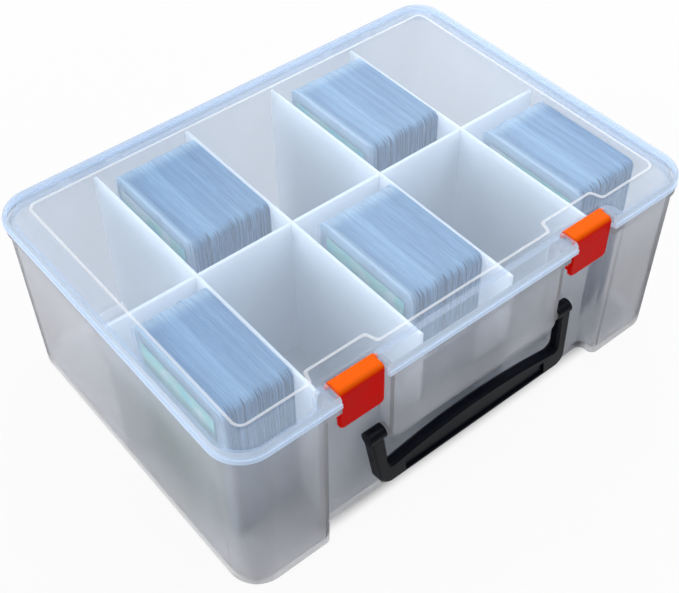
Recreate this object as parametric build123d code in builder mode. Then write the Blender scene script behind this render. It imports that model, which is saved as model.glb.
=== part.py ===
from build123d import *
import math
import os

os.makedirs("parts", exist_ok=True)

# Translucent card storage box. Millimetres, +Z up, front towards -Y, length along X.
# The origin is on the ground under the middle of the closed box.

# Tub
tub_half_x = 153.8          # outer half length at the ground
tub_half_y = 110.6          # outer half depth at the ground
tub_draft = 0.6             # degrees, the walls lean out going up
tub_corner_r = 18.0
tub_bottom_edge = 1.2       # bevel round the bottom
base_z = 1.6                # the walls stand upright up to here, and lean out above
wall = 2.4
foot_z = 1.2                # height of the foot ring under the floor
foot_width = 9.0
floor_top = 3.5
rim_z = 110.9               # top of the wall and of the rim band
band_z = 106.6              # underside of the rim band
band_half_x = 156.1
band_half_y = 112.6
band_corner_r = 19.0
least_r = 0.8               # smallest radius at the recess
most_r = 9.0                # largest radius at the recess
floor_edge = 1.8            # bevel along the inside edge of the floor
floor_up = 2.6              # height of the upright part of the walls above the floor
inside_y = -95.0            # back of the cut behind the housing
notch_y = -102.0            # back of the band's notches for the latches
draft_out = (rim_z - base_z) * math.tan(math.radians(tub_draft))
over = 1.0                  # a cut runs this far past the face that it leaves by
touch = 0.1                 # corners this near to a place are taken to be at it

# Recess in the front, between the two corner blocks
recess_half_x = 100.0
recess_y = -100.4           # face of the recess at the ground
recess_r = 4.5

# Housing panel that carries the handle
housing_half_x = 60.5
housing_y = -110.2
housing_z = 53.0
housing_corner_r = 6.0
housing_edge = 1.4          # bevel along its front edges

# Lid
lid_half_x = 156.9
lid_half_y = 113.2
lid_corner_r = 20.0
skirt_z = 111.05
skirt_wall = 1.6
step_z = 113.9              # the skirt narrows above this height
step_in = 0.8
lid_top = 117.4
lid_plate = 1.9
lid_edge = 1.5              # bevel round the top
plug_low = 109.4            # lip of the lid that drops inside the tub
plug_wall = 1.4
plug_gap = 0.7
line_half_x = 142.0         # raised line round the lid's panel
line_half_y = 97.4
line_corner_r = 6.0
line_width = 1.5
line_top = 118.5
jog_half_x = 20.0           # the line steps back round each latch
jog_slope = 2.5
jog_y = -90.2
jog_r = 2.4

# Latches and their pockets in the lid
latch_x = 79.2
latch_half_x = 14.0
latch_front = -110.1
latch_top = 117.6
latch_low = 90.0
latch_wall = 2.4
latch_front_r = 3.2
latch_foot_r = 3.0          # lower corners, seen from the front
latch_edge = 0.6            # bevel round the front and the top
latch_hook_in = 3.4         # the hook stops this far short of each side
latch_axis_y = -101.5
latch_eye_r = 1.9
latch_axis_z = latch_top - latch_eye_r
latch_hook_y = -101.9
latch_pin_r = 1.2
latch_pin_len = 1.9
pin_gap = 0.05
pocket_gap = 0.5
pocket_back = -99.2
pocket_skin = 1.4
pocket_floor_y = -106.5
pocket_cheek = 1.9

# Ledge on the tub that a latch hooks under
catch_half_x = 12.0
catch_y = -103.6
catch_low = 93.4
catch_high = 99.0
catch_flat = 2.6            # height of its upright edge
catch_lead = 0.8            # depth left at its top

# Handle
pivot_y = -105.7
pivot_z = 60.3
pivot_pin_r = 2.2
pivot_boss_r = 3.9
head_r = 4.2                # round head at the top of each arm
head_in = 62.6              # inner and outer end of a head, from the middle plane
head_out = 73.0
arm_in_top = 64.2           # inner and outer side of an arm at its pivot
arm_out_top = 72.8
arm_in_foot = 62.4          # and at the grip
arm_out_foot = 68.5
arm_depth = 8.2
boss_end = 62.2             # end of a boss on the tub, clear of the head
pin_end = 70.0
bore_end = 70.9
handle_low = 21.9
handle_corner_r = 8.5
handle_inner_r = 3.0
handle_edge = 1.3           # bevel along the front edges
handle_back = 1.1           # bevel along the outer edge at the back
grip_back = 2.8             # bevel along the inner edge at the back, wider for the fingers
grip_end_z = 34.0           # top of the grip at the arms
grip_mid_z = 39.6           # top of the grip in the middle
handle_lean = 6.0           # degrees, the handle hangs with its grip forward
slot_half_x = 52.0          # shallow pocket in the front of the grip
slot_deep = 1.6
slot_low_z = 24.2
slot_end_z = 31.8
slot_mid_z = 35.9

# Hinge at the back
hinge_y = 115.3
hinge_z = 108.4
hinge_r = 2.2
hinge_pin_r = 1.1
hinge_x = 95.0
hinge_pin_in = 1.0          # the pin runs this far into each lug
lid_knuckle = 22.0
tub_knuckle = 9.0
knuckle_gap = 0.4
lug_root_y = 111.4
lug_drop = 3.0              # height of a lug's slanted underside
web_up = 1.0

# Dividers
divider_t = 2.4
divider_top = 105.0
divider_low = 3.6
pitch = 62.8                # from one cross divider to the next
long_y = 7.0
end_gap = 0.5
end_chamfer = 3.6
lap_gap = 0.15
divider_edge_r = 0.7
cross_x = [(i - 1.5) * pitch for i in range(4)]

# Rigid card sleeves and the plain card at the front of each pack
sleeve_w = 77.0
sleeve_h = 103.0
sleeve_t = 1.9
sleeve_step = 2.25
sleeve_corner = 2.0
sleeve_low = 3.6
stray = 0.5                 # sleeves stand this much out of line
stray_turn = 2.3            # radians from one sleeve to the next along the stray
card_w = 63.5
card_h = 88.9
card_t = 0.4
pouch_w = 66.0
pouch_t = 1.0
pouch_low = 6.5
card_gap = 0.1

# Left edge, front edge and number of sleeves of each pack
packs = [
    (-86.8, 25.0, 24),
    (38.8, 24.0, 24),
    (-140.6, -78.5, 20),
    (-21.6, -79.5, 23),
    (101.4, -80.5, 21),
]


def near(vertex, x, y):
    """True for a plan corner at this distance from the middle plane and at this y."""
    return abs(abs(vertex.X) - x) < touch and abs(vertex.Y - y) < touch


def tub_plan(grow):
    """Plan of the tub at the ground, grown outwards, with the recess in its front."""
    half_x = tub_half_x + grow
    half_y = tub_half_y + grow
    side_x = recess_half_x - grow
    front_y = recess_y - grow
    with BuildSketch() as plan:
        Rectangle(2 * half_x, 2 * half_y)
        with Locations((0, -half_y)):
            Rectangle(2 * side_x, 2 * (half_y + front_y), mode=Mode.SUBTRACT)
        corners = plan.vertices()
        fillet([v for v in corners if near(v, half_x, half_y) or near(v, half_x, -half_y)],
               tub_corner_r + grow)
        fillet([v for v in plan.vertices() if near(v, side_x, -half_y)],
               max(recess_r + grow, least_r))
        fillet([v for v in plan.vertices() if near(v, side_x, front_y)],
               min(recess_r - grow, most_r))
    return plan.sketch


def rounded_plan(half_x, half_y, corner_r):
    """A rounded rectangle centred on the origin."""
    with BuildSketch() as plan:
        RectangleRounded(2 * half_x, 2 * half_y, corner_r)
    return plan.sketch


# Tub: tapered shell with its recess, rim band, handle housing, catches and hinge lugs
outer_plan = tub_plan(0)
inner_plan = tub_plan(-wall)
foot_plan = tub_plan(-foot_width)
band_plan = rounded_plan(band_half_x, band_half_y, band_corner_r)

# Housing, rounded at its lower corners and along its front edges
with BuildPart() as housing:
    with Locations((0, (housing_y + recess_y) / 2, (housing_z + rim_z) / 2)):
        Box(2 * housing_half_x, recess_y - housing_y, rim_z - housing_z)
    low_corners = housing.edges().filter_by(Axis.Y).group_by(Axis.Z)[0]
    fillet(low_corners, housing_corner_r)
    front_edges = housing.faces().sort_by(Axis.Y)[0].edges()
    chamfer(front_edges.sort_by(Axis.Z)[:-1], housing_edge)

# The space inside, with rounded floor edges, and the hollow of the housing
hollow_half_x = housing_half_x - wall
hollow_y = housing_y + wall
hollow_z = housing_z + wall
with BuildPart() as inside:
    with BuildSketch(Plane.XY.offset(floor_top)):
        add(inner_plan)
    extrude(amount=floor_up)
    chamfer(inside.faces().sort_by(Axis.Z)[0].edges(), floor_edge)
    with BuildSketch(Plane.XY.offset(floor_top + floor_up)):
        add(inner_plan)
    extrude(amount=rim_z + over - floor_top - floor_up, taper=-tub_draft)
    with Locations((0, (hollow_y + inside_y) / 2, (hollow_z + rim_z + over) / 2)):
        Box(2 * hollow_half_x, inside_y - hollow_y, rim_z + over - hollow_z)

with BuildPart() as tub:
    with BuildSketch():
        add(outer_plan)
    extrude(amount=base_z)
    chamfer(tub.faces().sort_by(Axis.Z)[0].edges(), tub_bottom_edge)
    with BuildSketch(Plane.XY.offset(base_z)):
        add(outer_plan)
    extrude(amount=rim_z - base_z, taper=-tub_draft)
    with BuildSketch(Plane.XY.offset(band_z)):
        add(band_plan)
    extrude(amount=rim_z - band_z)
    add(housing.part)
    # Catch ledges, sloped underneath the latches towards the wall
    for side in (-1, 1):
        with BuildSketch(Plane.YZ.offset(side * latch_x - catch_half_x)):
            with BuildLine():
                Polyline((inside_y, catch_low), (catch_y, catch_low),
                         (catch_y, catch_low + catch_flat), (recess_y - catch_lead, catch_high),
                         (inside_y, catch_high), close=True)
            make_face()
        extrude(amount=2 * catch_half_x)
    add(inside.part, mode=Mode.SUBTRACT)
    # Notches in the rim band for the latches, from the housing to just past each latch
    notch_end = latch_x + latch_half_x + pocket_gap
    notch_x = (housing_half_x + notch_end) / 2
    with Locations(*[(side * notch_x, -band_half_y, rim_z) for side in (-1, 1)]):
        Box(notch_end - housing_half_x, 2 * (band_half_y + notch_y),
            2 * (rim_z - band_z + over), mode=Mode.SUBTRACT)
    # Foot ring: the middle of the underside is raised
    with BuildSketch():
        add(foot_plan)
    extrude(amount=foot_z, mode=Mode.SUBTRACT)
    # Bosses and pins that carry the handle
    root_x = housing_half_x - wall / 2
    for side in (-1, 1):
        for end_x, radius in ((boss_end, pivot_boss_r), (pin_end, pivot_pin_r)):
            with BuildSketch(Plane.YZ.offset(side * root_x)):
                with Locations((pivot_y, pivot_z)):
                    Circle(radius)
            extrude(amount=side * (end_x - root_x))
    # Hinge lugs, a pair at each lid knuckle, joined by a pin
    for side in (-1, 1):
        for half in (-1, 1):
            lug_x = side * hinge_x + half * (lid_knuckle / 2 + knuckle_gap + tub_knuckle / 2)
            with BuildSketch(Plane.YZ.offset(lug_x - tub_knuckle / 2)):
                with Locations((hinge_y, hinge_z)):
                    Circle(hinge_r)
                with BuildLine():
                    Polyline((lug_root_y, hinge_z - hinge_r - lug_drop), (hinge_y, hinge_z - hinge_r),
                             (hinge_y, hinge_z), (lug_root_y, hinge_z), close=True)
                make_face()
            extrude(amount=tub_knuckle)
        pin_len = lid_knuckle + 2 * (knuckle_gap + hinge_pin_in)
        with BuildSketch(Plane.YZ.offset(side * hinge_x - pin_len / 2)):
            with Locations((hinge_y, hinge_z)):
                Circle(hinge_pin_r)
        extrude(amount=pin_len)
tub.part.label = "tub"
export_step(tub.part, "parts/tub.step")


def line_path(inset):
    """The raised line on the lid, stepping back round each latch, moved inwards by a margin."""
    right = line_half_x - inset
    back = line_half_y - inset
    points = [(-right, back), (right, back), (right, -back)]
    for side in (1, -1):
        outer_x = side * latch_x + (jog_half_x + inset)
        inner_x = side * latch_x - (jog_half_x + inset)
        points.append((outer_x, -back))
        points.append((outer_x - jog_slope, jog_y + inset))
        points.append((inner_x + jog_slope, jog_y + inset))
        points.append((inner_x, -back))
    points.append((-right, -back))
    return points


def line_plan(inset):
    """The area inside the raised line, with rounded corners."""
    with BuildSketch() as plan:
        with BuildLine():
            Polyline(*line_path(inset), close=True)
        make_face()
        corners = [v for v in plan.vertices() if near_corner(v, inset)]
        fillet(corners, line_corner_r - inset)
        jogs = [v for v in plan.vertices() if abs(v.X) < line_half_x - 2 * line_corner_r]
        fillet([v for v in jogs if v.Y < 0], jog_r)
    return plan.sketch


def near_corner(vertex, inset):
    """True for one of the four outer corners of the raised line."""
    return abs(abs(vertex.X) - line_half_x + inset) < touch


def pocket_shell(x, inner_y):
    """Floor, back and cheeks of the lid's pocket for the latch at x."""
    half = latch_half_x + pocket_gap
    back_in = (Align.CENTER, Align.MAX, Align.MIN)
    with BuildPart() as shell:
        with Locations((x, pocket_back + pocket_skin, skirt_z)):
            Box(2 * (half + pocket_cheek), pocket_back + pocket_skin + inner_y,
                lid_top - lid_plate / 2 - skirt_z, align=back_in)
        with Locations((x, pocket_back, skirt_z + pocket_skin)):
            Box(2 * half, lid_half_y, lid_top - skirt_z, align=back_in, mode=Mode.SUBTRACT)
        with Locations((x, pocket_floor_y, skirt_z)):
            Box(2 * half, lid_half_y, lid_top - skirt_z, align=back_in, mode=Mode.SUBTRACT)
    return shell.part


# Lid: plate with a stepped skirt, a lip inside the tub, a raised line and two latch pockets
inner_x = lid_half_x - skirt_wall
inner_y = lid_half_y - skirt_wall
inner_r = lid_corner_r - skirt_wall
skirt_plan = rounded_plan(lid_half_x, lid_half_y, lid_corner_r)
plate_plan = rounded_plan(lid_half_x - step_in, lid_half_y - step_in, lid_corner_r - step_in)
under_skirt = rounded_plan(inner_x, inner_y, inner_r)
under_plate = rounded_plan(inner_x - step_in, inner_y - step_in, inner_r - step_in)
lip_outside = tub_plan(draft_out - wall - plug_gap)
lip_inside = tub_plan(draft_out - wall - plug_gap - plug_wall)
line_outside = line_plan(0)
line_inside = line_plan(line_width)
pockets = [(side * latch_x, pocket_shell(side * latch_x, inner_y)) for side in (-1, 1)]

with BuildPart() as lid:
    with BuildSketch(Plane.XY.offset(skirt_z)):
        add(skirt_plan)
    extrude(amount=step_z - skirt_z)
    with BuildSketch(Plane.XY.offset(step_z)):
        add(plate_plan)
    extrude(amount=lid_top - step_z)
    chamfer(lid.faces().sort_by(Axis.Z)[-1].edges(), lid_edge)
    with BuildSketch(Plane.XY.offset(skirt_z)):
        add(under_skirt)
    extrude(amount=step_z - skirt_z - skirt_wall / 2, mode=Mode.SUBTRACT)
    with BuildSketch(Plane.XY.offset(skirt_z)):
        add(under_plate)
    extrude(amount=lid_top - lid_plate - skirt_z, mode=Mode.SUBTRACT)
    # Lip inside the tub
    with BuildSketch(Plane.XY.offset(plug_low)):
        add(lip_outside)
        add(lip_inside, mode=Mode.SUBTRACT)
    extrude(amount=lid_top - lid_plate - plug_low)
    # Pockets for the latches, cut through the skirt, with holes in the cheeks for the pins
    opening = 2 * (latch_half_x + pocket_gap)
    for x, pocket in pockets:
        with Locations((x, pocket_back, 0)):
            Box(opening, lid_half_y, 2 * lid_top,
                align=(Align.CENTER, Align.MAX, Align.CENTER), mode=Mode.SUBTRACT)
        add(pocket)
        with Locations(Plane(origin=(x, latch_axis_y, latch_axis_z), z_dir=(1, 0, 0))):
            Cylinder(latch_pin_r + pin_gap, opening + 2 * (pocket_cheek + over), mode=Mode.SUBTRACT)
    # Raised line
    with BuildSketch(Plane.XY.offset(lid_top - lid_plate / 2)):
        add(line_outside)
        add(line_inside, mode=Mode.SUBTRACT)
    extrude(amount=line_top - lid_top + lid_plate / 2)
    # Hinge knuckles, each with a web up to the skirt
    for side in (-1, 1):
        with BuildSketch(Plane.YZ.offset(side * hinge_x - lid_knuckle / 2)):
            with Locations((hinge_y, hinge_z)):
                Circle(hinge_r)
            with BuildLine():
                Polyline((lid_half_y - skirt_wall / 2, skirt_z), (lid_half_y, skirt_z),
                         (hinge_y - hinge_r, hinge_z), (hinge_y + hinge_r, hinge_z),
                         (hinge_y + hinge_r, hinge_z + web_up), (lid_half_y, step_z),
                         (lid_half_y - skirt_wall / 2, step_z), close=True)
            make_face()
            with Locations((hinge_y, hinge_z)):
                Circle(hinge_pin_r + pin_gap, mode=Mode.SUBTRACT)
        extrude(amount=lid_knuckle)
lid.part.label = "lid"
export_step(lid.part, "parts/lid.step")

# Latches: an eye at the back, a top, a front with a hook at its foot, and a pin at each end
for name, side in (("latch_left", -1), ("latch_right", 1)):
    x = side * latch_x
    with BuildPart() as latch:
        with BuildSketch(Plane.YZ.offset(x - latch_half_x)):
            with BuildLine():
                Polyline((latch_axis_y, latch_top), (latch_front, latch_top),
                         (latch_front, latch_low), (latch_front + latch_wall, latch_low),
                         (latch_front + latch_wall, latch_top - latch_wall),
                         (latch_axis_y, latch_top - latch_wall), close=True)
            make_face()
        extrude(amount=2 * latch_half_x)
        foot_edges = latch.edges().filter_by(Axis.Y).group_by(Axis.Z)[0]
        fillet(foot_edges, latch_foot_r)
        front_edges = latch.edges().filter_by(Axis.X).group_by(Axis.Y)[0]
        fillet(front_edges.sort_by(Axis.Z)[-1], latch_front_r)
        rims = latch.faces().sort_by(Axis.Y)[0].edges().sort_by(Axis.Z)
        chamfer(rims[:-1], latch_edge)
        # Eye, hook and pins
        with BuildSketch(Plane.YZ.offset(x - latch_half_x)):
            with Locations((latch_axis_y, latch_axis_z)):
                Circle(latch_eye_r)
        extrude(amount=2 * latch_half_x)
        with Locations((x, latch_hook_y, latch_low)):
            Box(2 * (latch_half_x - latch_hook_in), latch_hook_y - latch_front - latch_wall / 2,
                latch_wall, align=(Align.CENTER, Align.MAX, Align.MIN))
        with BuildSketch(Plane.YZ.offset(x - latch_half_x - latch_pin_len)):
            with Locations((latch_axis_y, latch_axis_z)):
                Circle(latch_pin_r)
        extrude(amount=2 * (latch_half_x + latch_pin_len))
    latch.part.label = name
    export_step(latch.part, f"parts/{name}.step")

# Handle: a flat bail with a round head on each arm, drawn in its own leaning plane
lean_cos = math.cos(math.radians(handle_lean))
lean_sin = math.sin(math.radians(handle_lean))
lean = Plane(origin=(0, pivot_y, pivot_z), x_dir=(1, 0, 0), z_dir=(0, -lean_cos, lean_sin))
drop = (pivot_z - handle_low) / lean_cos
end_drop = (pivot_z - grip_end_z) / lean_cos
mid_drop = (pivot_z - grip_mid_z) / lean_cos
slot_low = (slot_low_z - pivot_z) / lean_cos
slot_end = (slot_end_z - pivot_z) / lean_cos
slot_mid = (slot_mid_z - pivot_z) / lean_cos

with BuildPart() as handle:
    with BuildSketch(Plane.XY) as bail:
        with BuildLine():
            Polyline((arm_in_foot, -end_drop), (arm_in_top, 0), (arm_out_top, 0),
                     (arm_out_foot, -drop), (-arm_out_foot, -drop), (-arm_out_top, 0),
                     (-arm_in_top, 0), (-arm_in_foot, -end_drop))
            ThreePointArc((-arm_in_foot, -end_drop), (0, -mid_drop), (arm_in_foot, -end_drop))
        make_face()
        fillet(bail.vertices().group_by(Axis.Y)[0], handle_corner_r)
        fillet([v for v in bail.vertices() if near(v, arm_in_foot, -end_drop)], handle_inner_r)
    extrude(amount=arm_depth / 2, both=True)
    # Bevels: the lowest edge of a face leads all round the outside, the arc round the inside
    for end, outer, inner in ((-1, handle_edge, handle_edge), (0, handle_back, grip_back)):
        rim = handle.faces().filter_by(Plane.XY).sort_by(Axis.Z)[end]
        chamfer(rim.edges().sort_by(Axis.Y)[0], outer)
        rim = handle.faces().filter_by(Plane.XY).sort_by(Axis.Z)[end]
        arcs = rim.edges().filter_by(GeomType.CIRCLE)
        chamfer([e for e in arcs if abs(e.center().X) < touch], inner)
    for side in (-1, 1):
        with BuildSketch(Plane.YZ.offset(side * head_in)):
            Circle(head_r)
        extrude(amount=side * (head_out - head_in))
    # Shallow pocket in the front of the grip, under an arched top edge
    with BuildSketch(Plane.XY.offset(arm_depth / 2)):
        with BuildLine():
            Polyline((slot_half_x, slot_end), (slot_half_x, slot_low),
                     (-slot_half_x, slot_low), (-slot_half_x, slot_end))
            ThreePointArc((-slot_half_x, slot_end), (0, slot_mid), (slot_half_x, slot_end))
        make_face()
    extrude(amount=-slot_deep, mode=Mode.SUBTRACT)
    # Blind bores for the pins
    for side in (-1, 1):
        with BuildSketch(Plane.YZ.offset(side * housing_half_x)):
            Circle(pivot_pin_r + pin_gap)
        extrude(amount=side * (bore_end - housing_half_x), mode=Mode.SUBTRACT)
handle.part = lean * handle.part
handle.part.label = "handle"
export_step(handle.part, "parts/handle.step")


def divider_face(low_a, high_a, low_b, high_b):
    """Outline of a divider, wider at the top, with its foot corners cut off."""
    return Polyline((low_a + end_chamfer, divider_low), (low_b - end_chamfer, divider_low),
                    (low_b, divider_low + end_chamfer), (high_b, divider_top),
                    (high_a, divider_top), (low_a, divider_low + end_chamfer), close=True)


lean_out = (divider_top - divider_low) * math.tan(math.radians(tub_draft))
lap_z = (divider_low + divider_top) / 2
lap_width = divider_t + 2 * lap_gap

# Long divider, slotted from above
long_half = tub_half_x - wall - end_gap
with BuildPart() as long_divider:
    with BuildSketch(Plane.XZ.offset(-long_y - divider_t / 2)):
        with BuildLine():
            divider_face(-long_half, -long_half - lean_out, long_half, long_half + lean_out)
        make_face()
        with Locations(*[(x, divider_top) for x in cross_x]):
            Rectangle(lap_width, 2 * (divider_top - lap_z + lap_gap), mode=Mode.SUBTRACT)
    extrude(amount=divider_t)
    top_edges = long_divider.edges().filter_by(Axis.X).group_by(Axis.Z)[-1]
    fillet(top_edges, divider_edge_r)
long_divider.part.label = "long_divider"
export_step(long_divider.part, "parts/long_divider.step")

# Cross dividers, slotted from below
front_end = recess_y + wall + end_gap
back_end = tub_half_y - wall - end_gap
for number, x in enumerate(cross_x, start=1):
    with BuildPart() as cross:
        with BuildSketch(Plane.YZ.offset(x - divider_t / 2)):
            with BuildLine():
                divider_face(front_end, front_end - lean_out, back_end, back_end + lean_out)
            make_face()
            with Locations((long_y, divider_low)):
                Rectangle(lap_width, 2 * (lap_z - divider_low + lap_gap), mode=Mode.SUBTRACT)
        extrude(amount=divider_t)
        top_edges = cross.edges().filter_by(Axis.Y).group_by(Axis.Z)[-1]
        fillet(top_edges, divider_edge_r)
    cross.part.label = f"cross_divider_{number}"
    export_step(cross.part, f"parts/cross_divider_{number}.step")

# Packs of sleeves on edge. The first sleeve of a pack is a pouch that holds a plain card.
for number, (left, front, count) in enumerate(packs, start=1):
    middle_y = front + sleeve_w / 2
    pouch_y = middle_y + stray * math.sin(number)
    with BuildPart() as pack:
        for k in range(count):
            sleeve_y = middle_y + stray * math.sin(stray_turn * k + number)
            with BuildSketch(Plane.YZ.offset(left + k * sleeve_step)) as sleeve:
                with Locations((sleeve_y, sleeve_low)):
                    Rectangle(sleeve_w, sleeve_h, align=(Align.CENTER, Align.MIN))
                chamfer(sleeve.vertices().group_by(Axis.Y)[-1], sleeve_corner)
            extrude(amount=sleeve_t)
        with BuildSketch(Plane.YZ.offset(left + (sleeve_t - pouch_t) / 2)):
            with Locations((pouch_y, sleeve_low + pouch_low)):
                Rectangle(pouch_w, sleeve_h, align=(Align.CENTER, Align.MIN))
        extrude(amount=pouch_t, mode=Mode.SUBTRACT)
    pack.part.label = f"sleeve_pack_{number}"
    export_step(pack.part, f"parts/sleeve_pack_{number}.step")
    with BuildPart() as card:
        card_z = sleeve_low + pouch_low + card_gap + card_h / 2
        with Locations((left + sleeve_t / 2, pouch_y, card_z)):
            Box(card_t, card_w, card_h)
    card.part.label = f"front_card_{number}"
    export_step(card.part, f"parts/front_card_{number}.step")
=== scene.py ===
import math
import random

import bmesh
import bpy
from mathutils import Matrix, Vector


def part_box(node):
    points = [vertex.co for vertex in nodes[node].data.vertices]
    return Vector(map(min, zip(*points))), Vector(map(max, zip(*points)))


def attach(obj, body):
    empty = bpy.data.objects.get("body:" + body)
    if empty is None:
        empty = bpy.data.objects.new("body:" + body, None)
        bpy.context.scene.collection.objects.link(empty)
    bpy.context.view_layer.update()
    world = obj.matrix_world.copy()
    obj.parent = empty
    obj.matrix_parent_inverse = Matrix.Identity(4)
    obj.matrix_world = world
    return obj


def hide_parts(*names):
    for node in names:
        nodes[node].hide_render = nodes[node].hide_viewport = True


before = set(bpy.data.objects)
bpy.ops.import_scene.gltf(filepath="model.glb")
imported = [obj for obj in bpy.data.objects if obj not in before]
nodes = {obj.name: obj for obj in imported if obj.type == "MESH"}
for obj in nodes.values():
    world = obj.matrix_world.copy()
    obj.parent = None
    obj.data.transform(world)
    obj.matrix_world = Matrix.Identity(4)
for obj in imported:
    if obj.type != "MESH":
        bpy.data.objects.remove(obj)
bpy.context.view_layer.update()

random.seed(11)
scene = bpy.context.scene

# Camera, at the photograph's viewing angle
PHOTO_WIDTH = 679
FOCAL_PX = 1186.4
AZIMUTH = math.radians(-38.41)
ELEVATION = math.radians(46.80)
ROLL = math.radians(-1.08)
CAMERA_AT = Vector((-0.30487, -0.37831, 0.54770))


def make_camera():
    """The camera, turned by its azimuth, elevation and roll."""
    back = Vector((math.sin(AZIMUTH) * math.cos(ELEVATION),
                   -math.cos(AZIMUTH) * math.cos(ELEVATION),
                   math.sin(ELEVATION)))
    level = (-back).cross(Vector((0, 0, 1))).normalized()
    above = level.cross(-back)
    right = level * math.cos(ROLL) + above * math.sin(ROLL)
    up = right.cross(-back)
    data = bpy.data.cameras.new("camera")
    data.sensor_width = 36.0
    data.lens = FOCAL_PX * data.sensor_width / PHOTO_WIDTH
    data.clip_start = 0.01
    camera = bpy.data.objects.new("camera", data)
    scene.collection.objects.link(camera)
    turn = Matrix((right, up, back)).transposed()
    camera.matrix_world = Matrix.Translation(CAMERA_AT) @ turn.to_4x4()
    scene.camera = camera


make_camera()


# Node helpers. An input is a socket to link or a plain value to set.
def new_material(name):
    """An empty node material, with its output."""
    material = bpy.data.materials.new(name)
    material.use_nodes = True
    tree = material.node_tree
    tree.nodes.clear()
    return material, tree, tree.nodes.new("ShaderNodeOutputMaterial")


def add_node(tree, kind, inputs=None, **settings):
    """A node with some settings, and with values or links in its inputs."""
    node = tree.nodes.new(kind)
    for key, value in settings.items():
        setattr(node, key, value)
    for key, value in (inputs or {}).items():
        if isinstance(value, bpy.types.NodeSocket):
            tree.links.new(value, node.inputs[key])
        else:
            node.inputs[key].default_value = value
    return node


def ramp(tree, factor, stops):
    """A colour ramp from (place, colour) stops."""
    node = add_node(tree, "ShaderNodeValToRGB", {"Fac": factor})
    elements = node.color_ramp.elements
    while len(elements) < len(stops):
        elements.new(0.5)
    for element, (place, colour) in zip(elements, stops):
        element.position = place
        element.color = (*colour, 1)
    return node.outputs["Color"]


def span(tree, value, low, high, to_low, to_high, curve="SMOOTHSTEP"):
    """A value mapped from one span to another."""
    return add_node(tree, "ShaderNodeMapRange",
                    {"Value": value, "From Min": low, "From Max": high,
                     "To Min": to_low, "To Max": to_high},
                    interpolation_type=curve).outputs["Result"]


def calc(tree, operation, a, b=0.0):
    """One step of arithmetic."""
    return add_node(tree, "ShaderNodeMath", {0: a, 1: b}, operation=operation).outputs[0]


def between(tree, value, low, high, fade=0.0001):
    """1 between two limits, 0 outside them."""
    above = span(tree, value, low - fade, low, 0.0, 1.0)
    below = span(tree, value, high, high + fade, 1.0, 0.0)
    return calc(tree, "MULTIPLY", above, below)


def noise(tree, vector, scale, detail, rough=0.55):
    """A noise value at a point."""
    return add_node(tree, "ShaderNodeTexNoise",
                    {"Vector": vector, "Scale": scale, "Detail": detail,
                     "Roughness": rough}).outputs["Fac"]


def bump(tree, height, strength, distance=0.0003):
    """A normal bent by a height."""
    return add_node(tree, "ShaderNodeBump",
                    {"Height": height, "Strength": strength,
                     "Distance": distance}).outputs["Normal"]


def object_point(tree):
    """The point on the surface in the piece's own frame."""
    return add_node(tree, "ShaderNodeTexCoord").outputs["Object"]


def parts_of(tree, vector):
    """The three coordinates of a vector."""
    return add_node(tree, "ShaderNodeSeparateXYZ", {"Vector": vector}).outputs


def facing_up(tree):
    """How far the surface faces up: 1 if it is level, 0 if it is upright."""
    return parts_of(tree, add_node(tree, "ShaderNodeNewGeometry").outputs["Normal"])["Z"]


def past(tree, at, half_x, half_y):
    """How far a point lies past a box's sides, in X and in Y, negative inside."""
    return (calc(tree, "SUBTRACT", calc(tree, "ABSOLUTE", at["X"]), half_x),
            calc(tree, "SUBTRACT", calc(tree, "ABSOLUTE", at["Y"]), half_y))


def mix_colour(tree, factor, a, b):
    """Two colours mixed by a factor."""
    return add_node(tree, "ShaderNodeMix", {0: factor, 6: a, 7: b}, data_type="RGBA").outputs[2]


def shader(tree, kind, inputs):
    """A shader of this kind."""
    return add_node(tree, "ShaderNode" + kind, inputs).outputs[0]


def mix_shader(tree, share, a, b):
    """Two shaders, with this share of the second."""
    return add_node(tree, "ShaderNodeMixShader", {0: share, 1: a, 2: b}).outputs[0]


def white_light(tree, kind, strength=1.0):
    """White of this strength, from a surface or from the world."""
    return shader(tree, kind, {"Color": (1, 1, 1, 1), "Strength": strength})


def towards_lamp(tree):
    """1 for a ray that runs to a lamp, 0 for the others."""
    return add_node(tree, "ShaderNodeLightPath").outputs["Is Shadow Ray"]


def scaled(colour, factor):
    """A colour made darker or lighter."""
    return [channel * factor for channel in colour]


# A noise value is nearly always between these
NOISE_LOW = 0.3
NOISE_HIGH = 0.7

# Heights, in metres: the top of the tub's floor, and where the lid's raised line begins
FLOOR_TOP = 0.006
FLOOR_FADE = 0.002
LINE_FOOT = 0.1182
LINE_FADE = 0.0001

# The lid from above, in metres: half its raised line, half its skirt with its round corners, and
# how far in from the skirt's outline it still counts as skirt
LINE_X = 0.1413
LINE_Y = 0.0967
LINE_SOFT = 0.0005
SKIRT_X = 0.1569
SKIRT_Y = 0.1132
SKIRT_R = 0.020
SKIRT_DEEP = 0.0022
SKIRT_FADE = 0.0002

# How solid each part looks, from 0, clear, to 1
# The upper side of the tub's floor, made solid as part of its painted light
FLOOR_SHARE = 0.9
PANEL_SHARE = 0.16
SHOULDER_SHARE = 0.22
SKIRT_SHARE = 0.84
# The raised line is made more solid, a painted highlight
LINE_HIGHLIGHT_SHARE = 0.46

# The skirt's two edges, paler as painted highlights: lowest and highest point, and how solid they
# look
SKIRT_HIGHLIGHTS = ((0.11095, 0.11165, 0.90), (0.11365, 0.11395, 0.60))


def floor_face(tree, point):
    """1 on the upper side of the tub's floor, 0 elsewhere."""
    level = span(tree, facing_up(tree), 0.7, 0.9, 0.0, 1.0)
    low = span(tree, parts_of(tree, point)["Z"], FLOOR_TOP, FLOOR_TOP + FLOOR_FADE, 1.0, 0.0)
    return calc(tree, "MULTIPLY", level, low)


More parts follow.
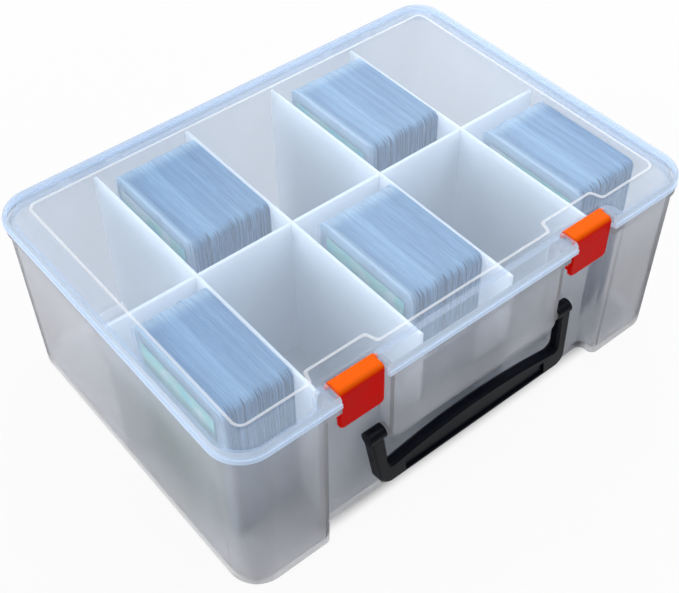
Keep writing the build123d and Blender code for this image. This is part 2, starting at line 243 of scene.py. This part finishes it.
def past_skirt(tree, at):
    """How far a point lies outside the lid's rounded outline, negative inside."""
    corner_x, corner_y = past(tree, at, SKIRT_X - SKIRT_R, SKIRT_Y - SKIRT_R)
    corner = add_node(tree, "ShaderNodeCombineXYZ", {"X": calc(tree, "MAXIMUM", corner_x, 0.0),
                                                     "Y": calc(tree, "MAXIMUM", corner_y, 0.0)})
    far = add_node(tree, "ShaderNodeVectorMath", {0: corner.outputs[0]}, operation="LENGTH")
    return calc(tree, "SUBTRACT", far.outputs["Value"], SKIRT_R)


def lid_share(tree, point):
    """How solid the lid looks: clear inside the raised line, frosted outside, painted highlights at
    its edges.
    """
    at = parts_of(tree, point)
    out = calc(tree, "MAXIMUM", *past(tree, at, LINE_X, LINE_Y))
    share = span(tree, out, -LINE_SOFT, LINE_SOFT, PANEL_SHARE, SHOULDER_SHARE)
    # The raised line, more solid as a painted highlight
    line_highlight = span(tree, at["Z"], LINE_FOOT, LINE_FOOT + LINE_FADE, 0.0, LINE_HIGHLIGHT_SHARE)
    share = calc(tree, "MAXIMUM", share, line_highlight)
    skirt = span(tree, past_skirt(tree, at), -SKIRT_DEEP - SKIRT_FADE, -SKIRT_DEEP, 0.0, 1.0)
    share = calc(tree, "MAXIMUM", share, calc(tree, "MULTIPLY", skirt, SKIRT_SHARE))
    # The skirt's two edges, more solid and paler as painted highlights
    for low, high, solid in SKIRT_HIGHLIGHTS:
        edge_highlight = calc(tree, "MULTIPLY", skirt, between(tree, at["Z"], low, high))
        share = calc(tree, "MAXIMUM", share, calc(tree, "MULTIPLY", edge_highlight, solid))
    return share


def frosted(name, colour, share, glow, roughness, relief=0.06, clear_tint=(0.98, 0.99, 1.0),
            blur=0.0, lets_light=0.0, painted_highlight_from=None, painted_floor_light=None):
    """Frosted see-through plastic: a satin skin, part of it open, and some light passing through.

    share is how solid it looks, as a number or a mask, and glow is how much of the solid part is
    lit from behind. blur roughens what is seen through it, and lets_light makes it less solid to
    the lamps. painted_highlight_from gives the two heights between which it turns white, a painted
    highlight, and painted_floor_light is the lighter colour of painted light on the tub's floor.
    """
    material, tree, output = new_material(name)
    point = object_point(tree)
    grain = noise(tree, point, scale=420.0, detail=2.0)
    cloud = noise(tree, point, scale=14.0, detail=4.0)
    tint = ramp(tree, cloud, [(NOISE_LOW, scaled(colour, 0.97)), (NOISE_HIGH, colour)])
    # Between these heights it turns white, a painted highlight
    if painted_highlight_from:
        white = span(tree, parts_of(tree, point)["Z"], *painted_highlight_from, 0.0, 1.0)
        tint = mix_colour(tree, white, tint, (1, 1, 1, 1))
    # The upper side of the tub's floor takes a lighter colour, painted light
    if painted_floor_light:
        on_floor = floor_face(tree, point)
        tint = mix_colour(tree, on_floor, tint, (*painted_floor_light, 1))
    rough = span(tree, cloud, NOISE_LOW, NOISE_HIGH, roughness * 0.88, roughness * 1.12)
    normal = bump(tree, grain, relief)
    skin = shader(tree, "BsdfPrincipled", {"Base Color": tint, "Roughness": rough, "Normal": normal,
                                           "Specular IOR Level": 0.35})
    lit_behind = shader(tree, "BsdfTranslucent", {"Color": tint, "Normal": normal})
    solid = mix_shader(tree, glow, skin, lit_behind)
    clear = shader(tree, "BsdfTransparent", {"Color": (*clear_tint, 1)})
    if blur:
        soft = shader(tree, "BsdfRefraction", {"Color": (*clear_tint, 1), "Roughness": blur,
                                               "IOR": 1.25})
        clear = mix_shader(tree, towards_lamp(tree), soft, clear)
    if callable(share):
        share = share(tree, point)
    if lets_light:
        less = calc(tree, "MULTIPLY", towards_lamp(tree), lets_light)
        share = calc(tree, "MULTIPLY", share, calc(tree, "SUBTRACT", 1.0, less))
    # The tub's floor is also made more solid, with that painted light
    if painted_floor_light:
        share = span(tree, on_floor, 0.0, 1.0, share, FLOOR_SHARE, curve="LINEAR")
    tree.links.new(mix_shader(tree, share, clear, solid), output.inputs["Surface"])
    return material


def glossy_plastic(name, colour, roughness, specular, relief, painted_top_light=None):
    """Moulded plastic with a faint grain, and a lighter colour of painted light where it faces up."""
    material, tree, output = new_material(name)
    point = object_point(tree)
    cloud = noise(tree, point, scale=40.0, detail=5.0)
    grain = noise(tree, point, scale=900.0, detail=2.0)
    tint = ramp(tree, cloud, [(NOISE_LOW, scaled(colour, 0.9)), (NOISE_HIGH, scaled(colour, 1.06))])
    # Faces that look up take a lighter colour, painted light
    if painted_top_light:
        top = span(tree, facing_up(tree), 0.1, 0.9, 0.0, 1.0)
        tint = mix_colour(tree, top, tint, (*painted_top_light, 1))
    rough = span(tree, cloud, NOISE_LOW, NOISE_HIGH, roughness * 0.85, roughness * 1.2)
    skin = shader(tree, "BsdfPrincipled", {"Base Color": tint, "Roughness": rough,
                                           "Specular IOR Level": specular,
                                           "Normal": bump(tree, grain, relief)})
    tree.links.new(skin, output.inputs["Surface"])
    return material


# The sleeves' blues, with painted shade, and where a pack is paler, in metres from its front left
# corner
SLEEVE_SHADE = (0.06, 0.18, 0.36)
SLEEVE_DEEP = (0.09, 0.24, 0.44)
SLEEVE_MID = (0.15, 0.36, 0.58)
SLEEVE_PALE = (0.30, 0.55, 0.78)
SLEEVE_FROST = (0.78, 0.92, 1.0)
PALE_BACK = (0.064, 0.0765)
PALE_LEFT = (0.001, 0.006)
ALONG_SLEEVE = (1.0, 0.05, 0.03)     # squeezes the noise into streaks along each sleeve


def sleeve_sheets(name):
    """Thin blue sleeves on edge: soft streaks along each one, painted shade on upright faces, pale at
    two sides.
    """
    material, tree, output = new_material(name)
    point = object_point(tree)
    at = parts_of(tree, point)
    along = add_node(tree, "ShaderNodeVectorMath", {0: point, 1: ALONG_SLEEVE},
                     operation="MULTIPLY").outputs[0]
    cloud = noise(tree, along, scale=90.0, detail=3.0)
    streak = noise(tree, along, scale=1100.0, detail=2.0, rough=0.6)
    top = ramp(tree, cloud, [(0.32, SLEEVE_DEEP), (0.5, SLEEVE_MID), (0.66, SLEEVE_PALE)])
    # Upright faces take the darker streaked blues, a painted shade; level faces the lighter ones
    front = ramp(tree, streak, [(0.34, SLEEVE_SHADE), (0.52, SLEEVE_DEEP), (0.68, SLEEVE_PALE)])
    body = mix_colour(tree, span(tree, facing_up(tree), 0.25, 0.85, 0.75, 0.22), top, front)
    back = calc(tree, "MULTIPLY", span(tree, at["Y"], *PALE_BACK, 0.0, 0.8),
                span(tree, streak, NOISE_LOW, NOISE_HIGH, 0.5, 1.0))
    pale = calc(tree, "MAXIMUM", back, span(tree, at["X"], *PALE_LEFT, 0.75, 0.0))
    tint = mix_colour(tree, pale, body, (*SLEEVE_FROST, 1))
    rough = span(tree, streak, NOISE_LOW, NOISE_HIGH, 0.25, 0.45)
    skin = shader(tree, "BsdfPrincipled", {"Base Color": tint, "Roughness": rough,
                                           "Normal": bump(tree, streak, 0.15, 0.0004)})
    lit_behind = shader(tree, "BsdfTranslucent", {"Color": tint})
    tree.links.new(mix_shader(tree, 0.35, skin, lit_behind), output.inputs["Surface"])
    return material


# Height over which a card turns from painted shade, low in its pack, to its bright colour, in metres
CARD_SHADE_FADE = (0.084, 0.093)


def card_face(name):
    """A plain card: soft turquoise, green and pale patches with no picture on it, in painted shade
    low down.
    """
    material, tree, output = new_material(name)
    point = object_point(tree)
    patches = noise(tree, point, scale=55.0, detail=2.0, rough=0.5)
    bright = ramp(tree, patches, [(0.32, (0.25, 0.90, 0.92)), (0.5, (0.45, 0.95, 0.74)),
                                  (0.66, (0.92, 1.0, 0.97))])
    card_shade = ramp(tree, patches, [(0.32, (0.05, 0.17, 0.14)), (0.5, (0.09, 0.24, 0.18)),
                                 (0.66, (0.18, 0.33, 0.27))])
    # Low in its pack the card takes painted shade
    high = span(tree, parts_of(tree, point)["Z"], *CARD_SHADE_FADE, 0.0, 1.0)
    skin = shader(tree, "BsdfPrincipled",
                  {"Base Color": mix_colour(tree, high, card_shade, bright), "Roughness": 0.5})
    tree.links.new(skin, output.inputs["Surface"])
    return material


divider_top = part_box("long_divider")[1][2]
# The dividers' top edges turn white, a painted highlight
divider_highlight = (divider_top - 0.007, divider_top - 0.001)
divider_plastic = frosted("divider_plastic", colour=(0.955, 0.975, 1.0), share=0.94, glow=0.5,
                          roughness=0.35, painted_highlight_from=divider_highlight)
film_plastic = frosted("film_plastic", colour=(0.75, 0.88, 1.0), share=0.09, glow=0.4,
                       roughness=0.2)
sleeve_plastic = sleeve_sheets("sleeve_plastic")

# Finish of each CAD node, by the first word of its name
finishes = {
    # The tub's floor takes a lighter colour, painted light
    "tub": frosted("tub_plastic", colour=(0.59, 0.59, 0.61), share=0.44, glow=0.45,
                   roughness=0.42, relief=0.02, clear_tint=(0.99, 0.992, 1.0), blur=0.16,
                   painted_floor_light=(0.93, 0.94, 0.97)),
    # The lid's raised line turns white and its skirt's edges paler, painted highlights
    "lid": frosted("lid_plastic", colour=(0.68, 0.77, 0.885), share=lid_share, glow=0.35,
                   roughness=0.22, relief=0.0, clear_tint=(0.945, 0.972, 1.0), lets_light=0.75,
                   painted_highlight_from=(LINE_FOOT, LINE_FOOT + LINE_FADE)),
    # The latch's tops take a lighter orange, painted light
    "latch": glossy_plastic("latch_plastic", colour=(0.80, 0.003, 0.0), roughness=0.40,
                            specular=0.03, relief=0.08, painted_top_light=(0.78, 0.105, 0.001)),
    "handle": glossy_plastic("handle_plastic", colour=(0.003, 0.004, 0.008), roughness=0.36,
                             specular=0.08, relief=0.15),
    "long": divider_plastic,
    "cross": divider_plastic,
    "sleeve": sleeve_plastic,
    "front": card_face("card_stock"),
}
for name, node in nodes.items():
    node.data.materials.clear()
    node.data.materials.append(finishes[name.split("_")[0]])

# Packs of sleeves, in metres and radians
PACKS = 5
SHEET_PITCH = 0.00078
SHEET_FILL = 0.96        # share of the pitch that a sleeve takes up
SHEET_R = 0.0040         # round upper corners
ARC_STEPS = 4
FILM = 0.0003            # thickness of the clear film beside the card
FILM_GAP = 0.0017        # room for the film and the card
FILM_INSET = 0.0006      # how far the film and the sleeves stay inside the pack's box
FRONT_INSET = 0.0011
BACK_INSET = 0.0010
TOP_INSET = 0.0003
SWAY = 0.0003            # slow wave of the sleeves' fronts and backs, and its turn per sleeve
SWAY_TURN = 0.31
STRAY = 0.0004           # how far a single sleeve strays from that wave
PROUD = (0.0008, 0.0, 0.0, 0.0, 0.0, -0.0007, -0.0016)   # and how far its front stands out
SAG = 0.0002             # slow wave of the upper edges, and its turn per sleeve
SAG_TURN = 0.45
DROP = 0.0001            # how far a single sleeve drops below that wave


def sheet_outline(front, back, top):
    """Side view of one sleeve: square at the foot, rounded at the two upper corners."""
    points = [(front, 0.0)]
    for corner_y, start in ((front + SHEET_R, math.pi), (back - SHEET_R, math.pi / 2)):
        for i in range(ARC_STEPS + 1):
            turn = start - i * math.pi / 2 / ARC_STEPS
            points.append((corner_y + SHEET_R * math.cos(turn),
                           top - SHEET_R + SHEET_R * math.sin(turn)))
    points.append((back, 0.0))
    return points


def add_sheet(mesh, x, thick, outline):
    """A thin plate of this outline in a bmesh."""
    rings = [[mesh.verts.new((side, y, z)) for y, z in outline] for side in (x, x + thick)]
    mesh.faces.new(rings[0])
    mesh.faces.new(rings[1][::-1])
    for i in range(len(outline)):
        j = (i + 1) % len(outline)
        mesh.faces.new((rings[0][j], rings[0][i], rings[1][i], rings[1][j]))


def new_piece(name, mesh, material, at, node):
    """A finished piece of the tub's load, standing where its node stands."""
    bmesh.ops.recalc_face_normals(mesh, faces=mesh.faces)
    data = bpy.data.meshes.new(name)
    mesh.to_mesh(data)
    mesh.free()
    data.materials.append(material)
    piece = bpy.data.objects.new(name, data)
    piece.location = at
    scene.collection.objects.link(piece)
    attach(piece, "tub")
    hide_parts(node)


def make_pack(number):
    """A pack of thin sleeves, none quite in line with the next, behind a clear film over the card."""
    node = f"sleeve_pack_{number}"
    low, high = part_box(node)
    length, depth, height = (high[i] - low[i] for i in range(3))
    count = round((length - FILM_GAP) / SHEET_PITCH)
    pitch = (length - FILM_GAP) / count
    sheets = bmesh.new()
    wave = random.uniform(0, 6.28)
    for k in range(count):
        stray = SWAY * math.sin(SWAY_TURN * k + wave) + random.uniform(-STRAY, STRAY)
        proud = random.choice(PROUD)
        front = max(0.0, FRONT_INSET + stray - proud)
        back = min(depth, depth - BACK_INSET + stray)
        sag = SAG * math.sin(SAG_TURN * k + wave) ** 2
        top = height - TOP_INSET - sag - random.uniform(0.0, DROP)
        add_sheet(sheets, FILM_GAP + k * pitch, pitch * SHEET_FILL, sheet_outline(front, back, top))
    new_piece(f"sleeves_{number}", sheets, sleeve_plastic, low, node)
    film = bmesh.new()
    add_sheet(film, 0.0, FILM, sheet_outline(FILM_INSET, depth - FILM_INSET, height))
    new_piece(f"film_{number}", film, film_plastic, low, node)


for number in range(1, PACKS + 1):
    make_pack(number)


# Floor, world and lamps, in metres and watts
FLOOR_HALF = 6.0
FLOOR_GREY = (0.60, 0.60, 0.60, 1)
UNDER_X = 0.150          # half the box's foot, and how far inside it the floor turns dark
UNDER_Y = 0.108
UNDER_FADE = 0.012
WHITE_NEAR = 0.93        # how white the floor is near the box
SHADOW_NEAR = 0.10       # and between which distances from its foot it turns all white
SHADOW_FAR = 0.70
WORLD_LIGHT = 0.24
AIM = (0, 0, 0.06)
# Name, place, size and power of each lamp
LAMPS = (("key", (-1.3, 0.5, 0.9), 1.0, 15.5),
         ("top", (0.70, 0.60, 0.95), 0.8, 10.0),
         ("front", (0.45, -0.35, 1.1), 0.8, 8.0))


def make_floor():
    """A wide pale floor that keeps the object's shadow, and is in shade under the box."""
    mesh = bpy.data.meshes.new("floor")
    corners = [(-FLOOR_HALF, -FLOOR_HALF, 0), (FLOOR_HALF, -FLOOR_HALF, 0),
               (FLOOR_HALF, FLOOR_HALF, 0), (-FLOOR_HALF, FLOOR_HALF, 0)]
    mesh.from_pydata(corners, [], [(0, 1, 2, 3)])
    floor = bpy.data.objects.new("floor", mesh)
    scene.collection.objects.link(floor)
    material, tree, output = new_material("floor")
    matte = shader(tree, "BsdfDiffuse", {"Color": FLOOR_GREY})
    white = white_light(tree, "Emission")
    path = add_node(tree, "ShaderNodeLightPath").outputs
    seen = calc(tree, "MAXIMUM", path["Is Camera Ray"], path["Is Glossy Ray"])
    seen = calc(tree, "MAXIMUM", seen, path["Is Transmission Ray"])
    at = parts_of(tree, object_point(tree))
    away = calc(tree, "MAXIMUM", *past(tree, at, UNDER_X, UNDER_Y))
    far_white = span(tree, away, SHADOW_NEAR, SHADOW_FAR, WHITE_NEAR, 1.0)
    clear_of_box = span(tree, away, -UNDER_FADE, 0.0, 0.0, far_white)
    share = calc(tree, "MULTIPLY", seen, clear_of_box)
    tree.links.new(mix_shader(tree, share, matte, white), output.inputs["Surface"])
    mesh.materials.append(material)


def make_world():
    """White to the camera, plain soft light elsewhere."""
    world = bpy.data.worlds.new("world")
    scene.world = world
    world.use_nodes = True
    tree = world.node_tree
    tree.nodes.clear()
    output = tree.nodes.new("ShaderNodeOutputWorld")
    path = add_node(tree, "ShaderNodeLightPath").outputs
    seen = calc(tree, "MAXIMUM", path["Is Camera Ray"], path["Is Transmission Ray"])
    light = white_light(tree, "Background", WORLD_LIGHT)
    white = white_light(tree, "Background")
    tree.links.new(mix_shader(tree, seen, light, white), output.inputs["Surface"])


def area_light(name, at, size, power):
    """A soft square lamp aimed at the box."""
    data = bpy.data.lights.new(name, "AREA")
    data.shape = "SQUARE"
    data.size = size
    data.energy = power
    lamp = bpy.data.objects.new(name, data)
    scene.collection.objects.link(lamp)
    lamp.location = at
    lamp.rotation_euler = (Vector(AIM) - Vector(at)).to_track_quat("-Z", "Y").to_euler()
    lamp.visible_camera = False


make_floor()
make_world()
for name, at, size, power in LAMPS:
    area_light(name, at, size, power)
scene.view_settings.view_transform = "Standard"
